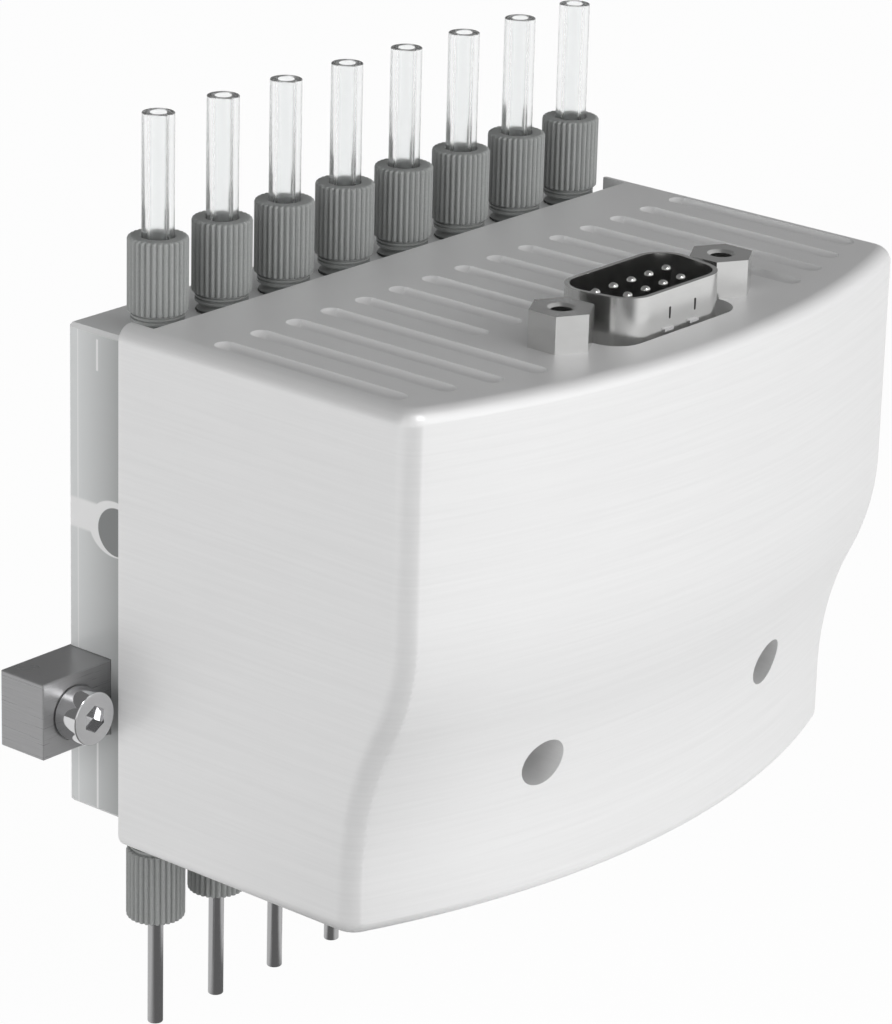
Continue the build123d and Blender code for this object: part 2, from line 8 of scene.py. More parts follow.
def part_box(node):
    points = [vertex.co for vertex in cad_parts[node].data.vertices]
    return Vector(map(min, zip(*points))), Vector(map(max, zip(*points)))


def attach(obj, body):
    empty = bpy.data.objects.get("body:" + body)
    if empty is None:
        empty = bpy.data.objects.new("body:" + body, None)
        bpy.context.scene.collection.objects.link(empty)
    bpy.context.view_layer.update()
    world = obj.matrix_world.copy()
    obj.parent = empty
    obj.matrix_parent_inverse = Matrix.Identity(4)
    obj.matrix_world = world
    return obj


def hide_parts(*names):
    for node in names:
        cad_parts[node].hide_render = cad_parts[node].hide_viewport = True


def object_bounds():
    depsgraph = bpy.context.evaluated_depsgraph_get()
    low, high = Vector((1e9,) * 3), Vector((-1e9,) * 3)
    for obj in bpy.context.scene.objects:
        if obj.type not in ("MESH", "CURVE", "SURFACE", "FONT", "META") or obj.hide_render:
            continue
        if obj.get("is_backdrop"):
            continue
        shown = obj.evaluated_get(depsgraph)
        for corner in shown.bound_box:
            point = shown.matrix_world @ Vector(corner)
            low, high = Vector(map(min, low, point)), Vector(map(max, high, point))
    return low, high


# Looks of an eight-channel valve island: a satin metal cover, a clear manifold, knurled
# fittings with tubes and needles, a nine-pin connector and a mounting bar.

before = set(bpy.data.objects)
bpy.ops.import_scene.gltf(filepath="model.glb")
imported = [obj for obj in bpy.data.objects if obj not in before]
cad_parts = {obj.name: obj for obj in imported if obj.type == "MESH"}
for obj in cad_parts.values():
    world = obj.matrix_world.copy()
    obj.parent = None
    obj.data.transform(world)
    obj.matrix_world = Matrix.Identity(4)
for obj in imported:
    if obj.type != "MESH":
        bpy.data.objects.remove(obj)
cad_low, cad_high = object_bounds()

MM = 0.001
CHANNELS = range(1, 9)


# ---- small tools --------------------------------------------------------------------------
def linear(code):
    """An sRGB hex colour as the linear red, green, blue and alpha that a shader takes."""
    parts = [int(code[i:i + 2], 16) / 255 for i in (1, 3, 5)]
    return [c / 12.92 if c <= 0.04045 else ((c + 0.055) / 1.055) ** 2.4 for c in parts] + [1.0]


def add(tree, kind, settings=None, inputs=None):
    """Adds a shader node. An input's value is a number, a colour or another node's output."""
    node = tree.nodes.new("ShaderNode" + kind)
    for key, value in (settings or {}).items():
        setattr(node, key, value)
    for key, value in (inputs or {}).items():
        if isinstance(value, bpy.types.NodeSocket):
            tree.links.new(value, node.inputs[key])
        else:
            node.inputs[key].default_value = value
    return node


def finish_of(name, colour, roughness, **sockets):
    """A material with one Principled shader. Returns the material, its nodes and the shader."""
    material = bpy.data.materials.new(name)
    material.use_nodes = True
    tree = material.node_tree
    tree.nodes.clear()
    shader = add(tree, "BsdfPrincipled", None,
                 {"Base Color": linear(colour), "Roughness": roughness} | sockets)
    add(tree, "OutputMaterial", None, {"Surface": shader.outputs["BSDF"]})
    return material, tree, shader


def grain(tree, size, detail=2.0):
    """Noise with cells of a size in millimetres along X, Y and Z, on the piece's own place."""
    place = add(tree, "TexCoord")
    scale = [1 / (side * MM) for side in size]
    mapped = add(tree, "Mapping", None, {"Vector": place.outputs["Object"], "Scale": scale})
    return add(tree, "TexNoise", None, {"Vector": mapped.outputs["Vector"], "Scale": 1.0,
                                        "Detail": detail}).outputs["Fac"]


def spread(tree, value, low, high):
    """Turns a noise value into a number from low to high."""
    return add(tree, "MapRange", None, {"Value": value, "From Min": 0.3, "From Max": 0.7,
                                        "To Min": low, "To Max": high}).outputs["Result"]


def shade(tree, shader, value, dark, light):
    """Lets the shader's colour run from dark to light with a value from 0 to 1."""
    mix = add(tree, "Mix", {"data_type": "RGBA"}, {0: value, 6: linear(dark), 7: linear(light)})
    tree.links.new(mix.outputs[2], shader.inputs["Base Color"])


def relief(tree, shader, value, depth):
    """Bump of a depth in millimetres."""
    bump = add(tree, "Bump", None, {"Height": value, "Distance": depth * MM, "Strength": 1.0})
    tree.links.new(bump.outputs["Normal"], shader.inputs["Normal"])


# ---- finishes -----------------------------------------------------------------------------
def satin_aluminium():
    """Cover: aluminium, finely brushed round its sides and clear anodised, so it is pale and
    soft, with faint level streaks. Real streaks are 0.05 mm apart; these are 0.3 mm, to show."""
    material, tree, shader = finish_of("satin_anodised_aluminium", "#F2F2F2", 0.42, Metallic=0.4)
    streaks = grain(tree, (14.0, 14.0, 0.3), 4.0)
    clouds = grain(tree, (30.0, 30.0, 12.0))
    shade(tree, shader, spread(tree, streaks, 0.0, 1.0), "#F0F0F0", "#F4F4F4")
    both = add(tree, "Math", {"operation": "MULTIPLY_ADD"}, {0: streaks, 1: 0.7, 2: clouds})
    tree.links.new(spread(tree, both.outputs[0], 0.4, 0.45), shader.inputs["Roughness"])
    relief(tree, shader, streaks, 0.0004)
    return material


def brushed_aluminium():
    """Mounting bar: sawn and brushed bar stock, darker than the cover, with level scratches."""
    material, tree, shader = finish_of("brushed_bar_aluminium", "#A8A8A8", 0.3, Metallic=0.5)
    scratches = grain(tree, (6.0, 6.0, 0.09), 5.0)
    shade(tree, shader, spread(tree, scratches, 0.0, 1.0), "#A0A0A1", "#ACACAD")
    tree.links.new(spread(tree, scratches, 0.26, 0.36), shader.inputs["Roughness"])
    relief(tree, shader, scratches, 0.0003)
    return material


def bright_steel(name, colour, low, high):
    """Screws, needles and inserts: turned or drawn steel, nearly mirror bright."""
    material, tree, shader = finish_of(name, colour, low, Metallic=1.0)
    tree.links.new(spread(tree, grain(tree, (0.4, 0.4, 0.4), 3.0), low, high),
                   shader.inputs["Roughness"])
    return material


def nickel_plate():
    """Connector's shell and posts: drawn steel under satin nickel, a little cloudy."""
    material, tree, shader = finish_of("satin_nickel_plate", "#C9C9C8", 0.26, Metallic=1.0)
    clouds = grain(tree, (2.5, 2.5, 1.0), 3.0)
    shade(tree, shader, spread(tree, clouds, 0.0, 1.0), "#DCDCDB", "#E2E2E1")
    tree.links.new(spread(tree, clouds, 0.2, 0.24), shader.inputs["Roughness"])
    return material


def moulded_plastic(name, dark, light, roughness):
    """Injection-moulded plastic with a fine matt skin: grains of 0.15 mm, drawn coarse."""
    material, tree, shader = finish_of(name, light, roughness)
    skin = grain(tree, (0.15, 0.15, 0.15), 3.0)
    shade(tree, shader, spread(tree, skin, 0.0, 1.0), dark, light)
    tree.links.new(spread(tree, skin, roughness - 0.05, roughness + 0.07),
                   shader.inputs["Roughness"])
    relief(tree, shader, skin, 0.004)
    return material


def times(tree, one, two):
    """Product of two values."""
    return add(tree, "Math", {"operation": "MULTIPLY"}, {0: one, 1: two}).outputs[0]


def zone(tree, length, low, high, soft=0.08):
    """1 where a length lies between two values in millimetres and 0 outside, with soft ends."""
    ramp = {"interpolation_type": "SMOOTHSTEP"}
    up = add(tree, "MapRange", ramp, {"Value": length, "From Min": (low - soft) * MM,
                                      "From Max": (low + soft) * MM})
    down = add(tree, "MapRange", ramp, {"Value": length, "From Min": (high + soft) * MM,
                                        "From Max": (high - soft) * MM})
    return times(tree, up.outputs["Result"], down.outputs["Result"])


def ellipse(tree, y, z, centre, halves, soft):
    """1 inside an ellipse in a side face and 0 outside. Its half axes are in millimetres."""
    parts = []
    for length, middle, half in zip((y, z), centre, halves):
        moved = add(tree, "Math", {"operation": "SUBTRACT"}, {0: length, 1: middle * MM})
        scaled = times(tree, moved.outputs[0], 1 / half)
        parts.append(times(tree, scaled, scaled))
    total = add(tree, "Math", {"operation": "ADD"}, {0: parts[0], 1: parts[1]})
    away = add(tree, "Math", {"operation": "SQRT"}, {0: total.outputs[0]}).outputs[0]
    return zone(tree, away, -1.0, 1.0, soft)


# what is painted on the manifold's side faces, as (low, high) or (y, z) in millimetres: real
# features drawn bright or dark, and a painted highlight under the top edge
BOND_LINE_Y = (-1.5, -1.38)
TOP_EDGE_HIGHLIGHT_Z = (24.9, 25.4)
DRILLING_Y = (-4.2, -3.95)
DRILLING_ENDS_Z = ((21.2, 24.4), (-26.0, -17.6))
CROSS_DRILLING_Y, CROSS_DRILLING_Z = (-4.0, 0.5), (4.4, 7.5)
RING_CENTRE, RING_HALVES = (-6.4, 5.4), (3.45, 2.9)
PLUG_CENTRE, PLUG_HALVES = (-6.7, 5.15), (2.5, 2.5)


def milled_acrylic():
    """Manifold: acrylic layers, milled and bonded, so it is milky. Its side faces carry painted
    shade, darker than the top and back and darker towards the front, and a painted highlight
    under the top edge. A bond line, two cross drillings and a ring, at real size, are painted
    bright as light shows in them through the plastic, and the end of a plug is painted dark."""
    sockets = {"Transmission Weight": 0.12, "IOR": 1.49}
    material, tree, shader = finish_of("milled_acrylic", "#F2F4F4", 0.2, **sockets)
    place = add(tree, "SeparateXYZ", None, {0: add(tree, "TexCoord").outputs["Object"]})
    y, z = place.outputs["Y"], place.outputs["Z"]
    facing = add(tree, "SeparateXYZ", None, {0: add(tree, "NewGeometry").outputs["Normal"]})
    side = add(tree, "Math", {"operation": "ABSOLUTE"}, {0: facing.outputs["X"]}).outputs[0]

    def over(below, share, colour):
        """The tone below, covered by a colour on the side faces."""
        mix = add(tree, "Mix", {"data_type": "RGBA"},
                  {0: times(tree, share, side), 6: below, 7: linear(colour)})
        return mix.outputs[2]

    # painted shade: the side faces are painted darker than the top and back, and darker still
    # towards the front
    depth = add(tree, "MapRange", None, {"Value": y, "From Min": -1.4 * MM, "From Max": -8.9 * MM})
    tone = over(linear("#FDFEFE"), 1.0, "#EBEDED")
    tone = over(tone, depth.outputs["Result"], "#A6A8A8")
    # painted highlight: a bright band just under the top edge; the bond line beside it is a real
    # feature painted bright
    bright = [zone(tree, y, *BOND_LINE_Y, 0.06), zone(tree, z, *TOP_EDGE_HIGHLIGHT_Z)]
    # the drillings and the ring are real features, painted bright for the light that shows in them
    # through the plastic
    bright += [times(tree, zone(tree, y, *DRILLING_Y), zone(tree, z, *ends))
               for ends in DRILLING_ENDS_Z]
    bright.append(times(tree, zone(tree, y, *CROSS_DRILLING_Y),
                        zone(tree, z, *CROSS_DRILLING_Z, 0.2)))
    bright.append(ellipse(tree, y, z, RING_CENTRE, RING_HALVES, 0.03))
    for share in bright:
        tone = over(tone, share, "#FFFFFF")
    # the plug's end is painted dark, as it looks through the plastic
    tone = over(tone, ellipse(tree, y, z, PLUG_CENTRE, PLUG_HALVES, 0.02), "#8E9090")
    tree.links.new(tone, shader.inputs["Base Color"])
    haze = grain(tree, (3.0, 3.0, 6.0))
    tree.links.new(spread(tree, haze, 0.15, 0.25), shader.inputs["Roughness"])
    return material


def drawn_tube():
    """Tubes: clear fluoropolymer, smooth from the die, with a faint haze."""
    sockets = {"Transmission Weight": 0.97, "IOR": 1.36}
    material, tree, shader = finish_of("clear_fluoropolymer_tube", "#FDFEFE", 0.1, **sockets)
    tree.links.new(spread(tree, grain(tree, (3.0, 3.0, 6.0)), 0.17, 0.22),
                   shader.inputs["Roughness"])
    return material


def solder_resist():
    """Circuit board: glass fibre under green lacquer, with the weave just showing."""
    material, tree, shader = finish_of("green_solder_resist", "#1F5B36", 0.4)
    weave = grain(tree, (0.5, 0.5, 0.5))
    shade(tree, shader, spread(tree, weave, 0.0, 1.0), "#1B5231", "#24653D")
    return material


def soft_rubber():
    """Valve seals: black nitrile rubber."""
    material, tree, shader = finish_of("nitrile_rubber", "#1C1C1C", 0.7)
    specks = grain(tree, (0.3, 0.3, 0.3))
    tree.links.new(spread(tree, specks, 0.6, 0.8), shader.inputs["Roughness"])
    return material


COVER = satin_aluminium()
BAR = brushed_aluminium()
NICKEL = nickel_plate()
SCREW = bright_steel("bright_zinc_plated_steel", "#E2E2E3", 0.06, 0.1)
NEEDLE = bright_steel("drawn_stainless_steel", "#B9B9BA", 0.14, 0.22)
INSERT = bright_steel("turned_stainless_steel", "#8E8E8E", 0.25, 0.35)
PIN = bright_steel("plated_contact", "#F2F2F0", 0.1, 0.14)
FITTING = moulded_plastic("grey_knurled_plastic", "#979998", "#A2A4A3", 0.48)
BLACK = moulded_plastic("black_glass_filled_plastic", "#171717", "#212121", 0.5)
ACRYLIC = milled_acrylic()
TUBE = drawn_tube()
BOARD = solder_resist()
RUBBER = soft_rubber()


# ---- making pieces ------------------------------------------------------------------------
def corner_normals(mesh, angle, known):
    """Shading of a CAD form. At each corner of a face it is the mean, by area, of the faces
    round that point that lie within an angle of the face, so slivers beside a hole carry no
    weight. A known surface gives its own normal."""
    limit = cos(radians(angle))
    around = [[] for _ in mesh.vertices]
    for face in mesh.polygons:
        for vert in face.vertices:
            around[vert].append((face.normal.copy(), face.area))
    normals = []
    for face in mesh.polygons:
        own = face.normal.copy()
        for vert in face.vertices:
            exact = known(mesh.vertices[vert].co, own) if known else None
            total = exact or Vector((0, 0, 0))
            for normal, area in around[vert] if exact is None else ():
                if normal.dot(own) > limit:
                    total += normal * area
            normals.append(total.normalized() if total.length > 0 else own)
    mesh.shade_smooth()
    mesh.normals_split_custom_set(normals)


def piece(shape, name, material, body, smooth=35, stands_for=(), cad=False, known=None):
    """Turns a bmesh into a piece that rides on a body. Edges sharper than smooth, in degrees,
    stay hard. A CAD form has the corner normals above."""
    bmesh.ops.remove_doubles(shape, verts=shape.verts, dist=1e-7)
    bmesh.ops.recalc_face_normals(shape, faces=shape.faces)
    mesh = bpy.data.meshes.new(name)
    shape.to_mesh(mesh)
    shape.free()
    if cad:
        corner_normals(mesh, smooth, known)
    else:
        mesh.shade_smooth()
        mesh.set_sharp_from_angle(angle=radians(smooth))
    mesh.materials.append(material)
    thing = bpy.data.objects.new(name, mesh)
    bpy.context.scene.collection.objects.link(thing)
    if not cad:
        weighted = thing.modifiers.new("even_shading", "WEIGHTED_NORMAL")
        weighted.keep_sharp = True
    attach(thing, body)
    if stands_for:
        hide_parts(*stands_for)
    return thing


def from_cad(node):
    """The CAD node's own form as a closed mesh."""
    shape = bmesh.new()
    shape.from_mesh(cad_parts[node].data)
    bmesh.ops.remove_doubles(shape, verts=shape.verts, dist=1e-7)
    return shape


def turn(shape, outline, steps, close=True):
    """Spins an outline of (radius, height) points in millimetres about the Z axis."""
    verts = [shape.verts.new((r * MM, 0, z * MM)) for r, z in outline]
    ends = zip(verts, verts[1:] + verts[:1]) if close else zip(verts, verts[1:])
    edges = [shape.edges.new(pair) for pair in ends]
    bmesh.ops.spin(shape, geom=verts + edges, cent=(0, 0, 0), axis=(0, 0, 1),
                   angle=tau, steps=steps, use_merge=True)


def bend(centre, radius, start, end, steps):
    """Points on a rounded corner, from one angle to another, in degrees."""
    turns = [radians(start + (end - start) * i / steps) for i in range(steps + 1)]
    return [(centre[0] + radius * cos(t), centre[1] + radius * sin(t)) for t in turns]


def place(shape, where, turned=None):
    """Turns the whole shape, then moves it to a point in metres."""
    matrix = Matrix.Translation(where) @ (turned or Matrix.Identity(4))
    bmesh.ops.transform(shape, matrix=matrix, verts=shape.verts)


def upright(shape, outline, y, depth):
    """A closed plate from an outline of (x, z) points, its back at y, depth towards the front."""
    sunk = 0.02                   # of the back, into what carries the plate
    back, front = [[shape.verts.new((x * MM, (y - step) * MM, z * MM)) for x, z in outline]
                   for step in (-sunk, depth)]
    shape.faces.new(back)
    shape.faces.new(front)
    for i in range(len(outline)):
        j = (i + 1) % len(outline)
        shape.faces.new((back[i], back[j], front[j], front[i]))


def thread(shape, radius, pitch, low, high, depth, steps=28):
    """A helical ridge from low to high on a core, all in millimetres, tapered at both ends."""
    flank = 0.44 * pitch          # half the ridge's foot
    crest = 0.08 * pitch
    foot = radius - depth - 0.02  # just inside the core
    points = [(foot, -flank), (radius, -crest), (radius, crest), (foot, flank)]
    verts = [shape.verts.new((r * MM, 0, (low + flank + z) * MM)) for r, z in points]
    edges = [shape.edges.new(pair) for pair in zip(verts, verts[1:] + verts[:1])]
    start = shape.faces.new(verts)
    turns = (high - low - 2 * flank) / pitch
    count = int(turns * steps)
    made = bmesh.ops.spin(shape, geom=[start] + edges + verts, cent=(0, 0, 0), axis=(0, 0, 1),
                          dvec=(0, 0, pitch * MM / steps), angle=tau * count / steps, steps=count)
    last = [g for g in made["geom_last"] if isinstance(g, bmesh.types.BMVert)]
    for ring in (verts, last):
        middle = Vector((0, 0, 0))
        for vert in ring:
            middle += vert.co / len(ring)
        flat = Vector((middle.x, middle.y, 0)).normalized() * foot * MM
        for vert in ring:
            vert.co.x, vert.co.y = flat.x, flat.y


# ---- cover and clear manifold -------------------------------------------------------------
FRONT_RADIUS, FRONT_RECESS = 102.0, 5.7       # the front is turned about an upright axis
SHOULDER_TOP, CONVEX, CONCAVE = 5.0, 26.0, 34.0
SHOULDER_TURN = acos(1 - FRONT_RECESS / (CONVEX + CONCAVE))
SHOULDER_BOTTOM = SHOULDER_TOP - (CONVEX + CONCAVE) * sin(SHOULDER_TURN)
SHOULDER_MEETING = SHOULDER_TOP - CONVEX * sin(SHOULDER_TURN)
ON_FRONT = 0.04               # how near a point of the front's mesh lies to the true front
GROOVE_DEPTH = 1.1
GROOVES_BEHIND = 12           # the grooves' rear ends lie at least this far behind the front
RUN_OUT = 0.9                 # how much a groove's rear end is shaded as the top is
front_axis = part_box("cover")[0].y + FRONT_RADIUS * MM
cover_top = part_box("cover")[1].z


def groove_end(point, face):
    """Whether a face is the rear end of a cooling groove, which faces forwards and up."""
    in_top = point.z > cover_top - GROOVE_DEPTH * MM
    behind = point.y > front_axis - (FRONT_RADIUS - GROOVES_BEHIND) * MM
    return in_top and behind and face.y < -0.2 and 0.05 < face.z < 0.98


def cover_normal(point, face):
    """The front's own normal, for a point and a face that lie on it. The grooves' rear ends
    run out softly."""
    if groove_end(point, face):
        return Vector((face.x, face.y, face.z + RUN_OUT)).normalized()
    out = Vector((point.x, point.y - front_axis, 0))
    z = point.z / MM
    lean, radius = 0.0, FRONT_RADIUS
    if SHOULDER_TOP > z > SHOULDER_MEETING:
        lean = asin((SHOULDER_TOP - z) / CONVEX)
        radius -= CONVEX * (1 - cos(lean))
    elif SHOULDER_MEETING >= z > SHOULDER_BOTTOM:
        lean = asin((z - SHOULDER_BOTTOM) / CONCAVE)
        radius -= FRONT_RECESS - CONCAVE * (1 - cos(lean))
    elif z <= SHOULDER_BOTTOM:
        radius -= FRONT_RECESS
    if abs(out.length / MM - radius) > ON_FRONT:
        return None
    normal = out.normalized() * cos(lean) - Vector((0, 0, sin(lean)))
    return normal if normal.dot(face) > 0.9 else None


piece(from_cad("cover"), "brushed_cover", COVER, "housing", 20, ["cover"],
      True, cover_normal)
piece(from_cad("manifold_block"), "clear_manifold", ACRYLIC, "housing", 20,
      ["manifold_block"], True)


# ---- screw fittings -----------------------------------------------------------------------
KNURL_LENGTH, KNURL_RADIUS, KNURL_EDGE = 7.5, 3.0, 0.3
RIDGES, RIDGE_DEPTH = 30, 0.3
SAMPLES = 8                   # points round one ridge
NECK_RADIUS, NECK_LENGTH, NECK_GROOVE = 2.65, 0.9, 0.2
THREAD_RADIUS, THREAD_LENGTH, THREAD_PITCH, THREAD_DEPTH = 2.5, 8.05, 0.8, 0.36
NUT_BORE = 1.65
FOOT_RADIUS = 2.3             # of a tube's or needle's flange, under its nut
FOOT_GAP = 0.05               # between the flange and the nut
TUBE_RADIUS, TUBE_BORE, TUBE_LIP = 1.6, 0.8, 0.08
SLEEVE_RADIUS, SLEEVE_EDGE = 1.6, 0.1
NEEDLE_RADIUS, NEEDLE_BORE, NEEDLE_LIP = 0.8, 0.5, 0.12


def fitting():
    """Knurled nut with its knurl's neck end at height 0, its thread below and its end above."""
    shape = bmesh.new()
    core = THREAD_RADIUS - THREAD_DEPTH
    groove = NECK_RADIUS - NECK_GROOVE
    outline = [(NUT_BORE, -THREAD_LENGTH), (core, -THREAD_LENGTH), (core, -NECK_LENGTH - 0.25)]
    outline += [(NECK_RADIUS - 0.15, -NECK_LENGTH - 0.1), (NECK_RADIUS, -NECK_LENGTH + 0.05)]
    # two collars, with a groove between them and one under the knurl
    low = -NECK_LENGTH + 0.3
    outline += [(NECK_RADIUS, low), (groove, low + 0.07), (groove, low + 0.16)]
    outline += [(NECK_RADIUS, low + 0.22)]
    low = -0.22
    outline += [(NECK_RADIUS, low), (groove, low + 0.07), (groove, low + 0.16), (groove, 0)]
    outline += [(KNURL_RADIUS - 0.12, 0.05), (KNURL_RADIUS, 0.2)]
    outline += bend((KNURL_RADIUS - KNURL_EDGE, KNURL_LENGTH - KNURL_EDGE), KNURL_EDGE, 0, 78, 5)
    outline += [(KNURL_RADIUS - KNURL_EDGE - 0.05, KNURL_LENGTH)]
    outline += [(NUT_BORE + 0.1, KNURL_LENGTH), (NUT_BORE, KNURL_LENGTH - 0.1)]
    turn(shape, outline, RIDGES * SAMPLES)
    for vert in shape.verts:
        out = hypot(vert.co.x, vert.co.y) / MM
        if vert.co.z > 0.01 * MM and out > NECK_RADIUS - 0.1:
            angle = Vector((vert.co.x, vert.co.y)).angle_signed(Vector((1, 0)))
            valley = 1 - abs(cos(angle * RIDGES / 2))
            vert.co.xy *= 1 - valley * RIDGE_DEPTH / out
    thread(shape, THREAD_RADIUS, THREAD_PITCH, -THREAD_LENGTH + 0.1, -NECK_LENGTH - 0.05,
           THREAD_DEPTH)
    return shape


def supply_tube(length, flange):
    """Clear tube with a flange at its foot, which stands at height 0."""
    end = length - TUBE_LIP
    outline = [(TUBE_BORE, 0), (FOOT_RADIUS, 0), (FOOT_RADIUS, flange), (TUBE_RADIUS, flange)]
    outline += bend((TUBE_RADIUS - TUBE_LIP, end), TUBE_LIP, 0, 90, 3)
    outline += bend((TUBE_BORE + TUBE_LIP, end), TUBE_LIP, 90, 180, 3)
    shape = bmesh.new()
    turn(shape, outline, 72)
    return shape


def needle(length, collar, sleeve):
    """Steel needle in its sleeve, hanging from height 0."""
    outline = [(NEEDLE_BORE, 0), (FOOT_RADIUS, 0), (FOOT_RADIUS, -collar)]
    outline += [(SLEEVE_RADIUS, -collar), (SLEEVE_RADIUS, -sleeve + SLEEVE_EDGE)]
    outline += [(SLEEVE_RADIUS - SLEEVE_EDGE, -sleeve), (NEEDLE_RADIUS, -sleeve)]
    outline += bend((NEEDLE_RADIUS - NEEDLE_LIP, -length + NEEDLE_LIP), NEEDLE_LIP, 0, -90, 3)
    outline += [(NEEDLE_BORE, -length)]
    shape = bmesh.new()
    turn(shape, outline, 48)
    return shape


def pattern(shape):
    """Keeps a finished shape as a mesh, so that every channel can have a copy of it."""
    mesh = bpy.data.meshes.new("pattern")
    shape.to_mesh(mesh)
    shape.free()
    return mesh


def copy_of(mesh):
    """A new shape from a kept mesh."""
    shape = bmesh.new()
    shape.from_mesh(mesh)
    return shape


nut = pattern(fitting())
for number in CHANNELS:
    low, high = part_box(f"inlet_nut_{number}")
    middle = (low + high) / 2
    shape = copy_of(nut)
    place(shape, (middle.x, middle.y, high.z - KNURL_LENGTH * MM))
    piece(shape, f"knurled_inlet_nut_{number}", FITTING, f"inlet_fitting_{number}",
          40, [f"inlet_nut_{number}"])

    tube_low, tube_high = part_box(f"inlet_tube_{number}")
    shape = supply_tube((tube_high.z - tube_low.z) / MM, (low.z - tube_low.z) / MM - FOOT_GAP)
    place(shape, (middle.x, middle.y, tube_low.z))
    piece(shape, f"clear_tube_{number}", TUBE, f"inlet_line_{number}", 40,
          [f"inlet_tube_{number}"])

    low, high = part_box(f"outlet_nut_{number}")
    shape = copy_of(nut)
    place(shape, (middle.x, middle.y, low.z + KNURL_LENGTH * MM), Matrix.Rotation(pi, 4, "X"))
    piece(shape, f"knurled_outlet_nut_{number}", FITTING, f"outlet_fitting_{number}",
          40, [f"outlet_nut_{number}"])

    tip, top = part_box(f"needle_{number}")
    shape = needle((top.z - tip.z) / MM, (top.z - high.z) / MM - FOOT_GAP,
                   (top.z - low.z) / MM)
    place(shape, (middle.x, middle.y, top.z))
    piece(shape, f"steel_needle_{number}", NEEDLE, f"outlet_line_{number}", 40,
          [f"needle_{number}"])


# ---- mounting screws ----------------------------------------------------------------------
M3_RADIUS, M3_PITCH, M3_THREAD_DEPTH = 1.5, 0.5, 0.28
M3_HEAD_RADIUS, M3_SOCKET = 2.75, 2.5         # the socket across its flats
BAR_COUNTERBORE = 0.15        # how deep the heads are let into the bar


def hexagon(across):
    """Corner radius of a hexagon of a width across flats."""
    return across / 2 / cos(pi / 6)


def cap_screw(length, height):
    """Socket-head screw along +Z, its seat at height 0 and its head below, in millimetres."""
    shape = bmesh.new()
    radius, head, corner = M3_RADIUS, M3_HEAD_RADIUS, hexagon(M3_SOCKET)
    edge, socket = 0.18, 0.5 * height
    rim = corner + 0.08
    outline = [(radius, 0), (head - 0.05, 0), (head, -0.05)]
    outline += bend((head - edge, -height + edge), edge, 0, -90, 4)
    outline += [(rim, -height)]
    turn(shape, outline, 72, close=False)
    # the socket's rim, six walls and floor
    inner = bmesh.ops.create_circle(shape, segments=6, radius=corner * MM,
                                    matrix=Matrix.Translation((0, 0, -height * MM)))["verts"]
    round_rim = [v for v in shape.verts if abs(hypot(v.co.x, v.co.y) - rim * MM) < 1e-7]
    rim_edges = [e for e in shape.edges if all(v in round_rim for v in e.verts)]
    inner_edges = [e for e in shape.edges if all(v in inner for v in e.verts)]
    bmesh.ops.bridge_loops(shape, edges=rim_edges + inner_edges)
    walls = bmesh.ops.extrude_edge_only(shape, edges=inner_edges)["geom"]
    floor = [g for g in walls if isinstance(g, bmesh.types.BMVert)]
    bmesh.ops.translate(shape, vec=(0, 0, socket * MM), verts=floor)
    centre = shape.verts.new((0, 0, (-height + socket + 0.35) * MM))
    ring = sorted(floor, key=lambda v: Vector((v.co.x, v.co.y)).angle_signed(Vector((1, 0))))
    for one, two in zip(ring, ring[1:] + ring[:1]):
        shape.faces.new((one, two, centre))
    # shank with its thread
    core = radius - M3_THREAD_DEPTH
    turn(shape, [(0.001, length), (core - 0.2, length), (core, length - 0.3), (core, -0.2),
                 (0.001, -0.2)], 48, close=False)
    turn(shape, [(core - 0.01, 0.001), (radius, 0.0)], 48, close=False)
    thread(shape, radius, M3_PITCH, 0.05, length - 0.1, M3_THREAD_DEPTH, 24)
    return shape


low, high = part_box("m3_cap_screws")
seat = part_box("mounting_bar")[0].y + BAR_COUNTERBORE * MM
screws = bmesh.new()
for x in (low.x + M3_HEAD_RADIUS * MM, high.x - M3_HEAD_RADIUS * MM):
    shape = cap_screw((high.y - seat) / MM, (seat - low.y) / MM)
    place(shape, (x, seat, (low.z + high.z) / 2), Matrix.Rotation(-pi / 2, 4, "X"))
    screws.from_mesh(pattern(shape))
piece(screws, "bright_mounting_screws", SCREW, "housing", 30, ["m3_cap_screws"])


# ---- connector ----------------------------------------------------------------------------
SHELL_DEPTH = 9.36
TAB_PLACES = (-1.67, 2.28)
SLOT_DROP, FOOT_DROP = 2.9, 4.05      # of their lower ends below the shell's rim

piece(from_cad("connector_shell"), "nickel_shell", NICKEL, "housing", 20,
      ["connector_shell"], True)

# two spring tabs pressed out of the shell's front: each slot with a round end is a thin black
# sheet on the front, painted shade for its opening, and each tab has a bright foot
low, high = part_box("connector_shell")
shell_front = (low.y + high.y) / 2 / MM - SHELL_DEPTH / 2
slot = [(-0.09, 0), (0.09, 0)] + bend((0, 1.05), 0.13, -20, 200, 8)
foot = [(-1.0, 0), (0.4, 0), (0.4, 0.3), (-1.0, 0.3)]
slots, feet = bmesh.new(), bmesh.new()
tab = ((slots, slot, SLOT_DROP, 0.03), (feet, foot, FOOT_DROP, 0.25))
for x in TAB_PLACES:
    for shape, outline, drop, depth in tab:
        bottom = high.z / MM - drop
        upright(shape, [(x + dx, bottom + dz) for dx, dz in outline], shell_front, depth)
# painted shade: thin black sheets where the slots' openings are
piece(slots, "shell_tab_slot_shade", BLACK, "housing", 30)
piece(feet, "shell_tab_feet", SCREW, "housing", 30)
piece(from_cad("jack_posts"), "hexagonal_posts", NICKEL, "housing", 20,
      ["jack_posts"], True)
piece(from_cad("connector_insulator"), "black_insulator", BLACK, "housing",
      20, ["connector_insulator"], True)
piece(from_cad("connector_pins"), "contact_pins", PIN, "housing", 30,
      ["connector_pins"], True)


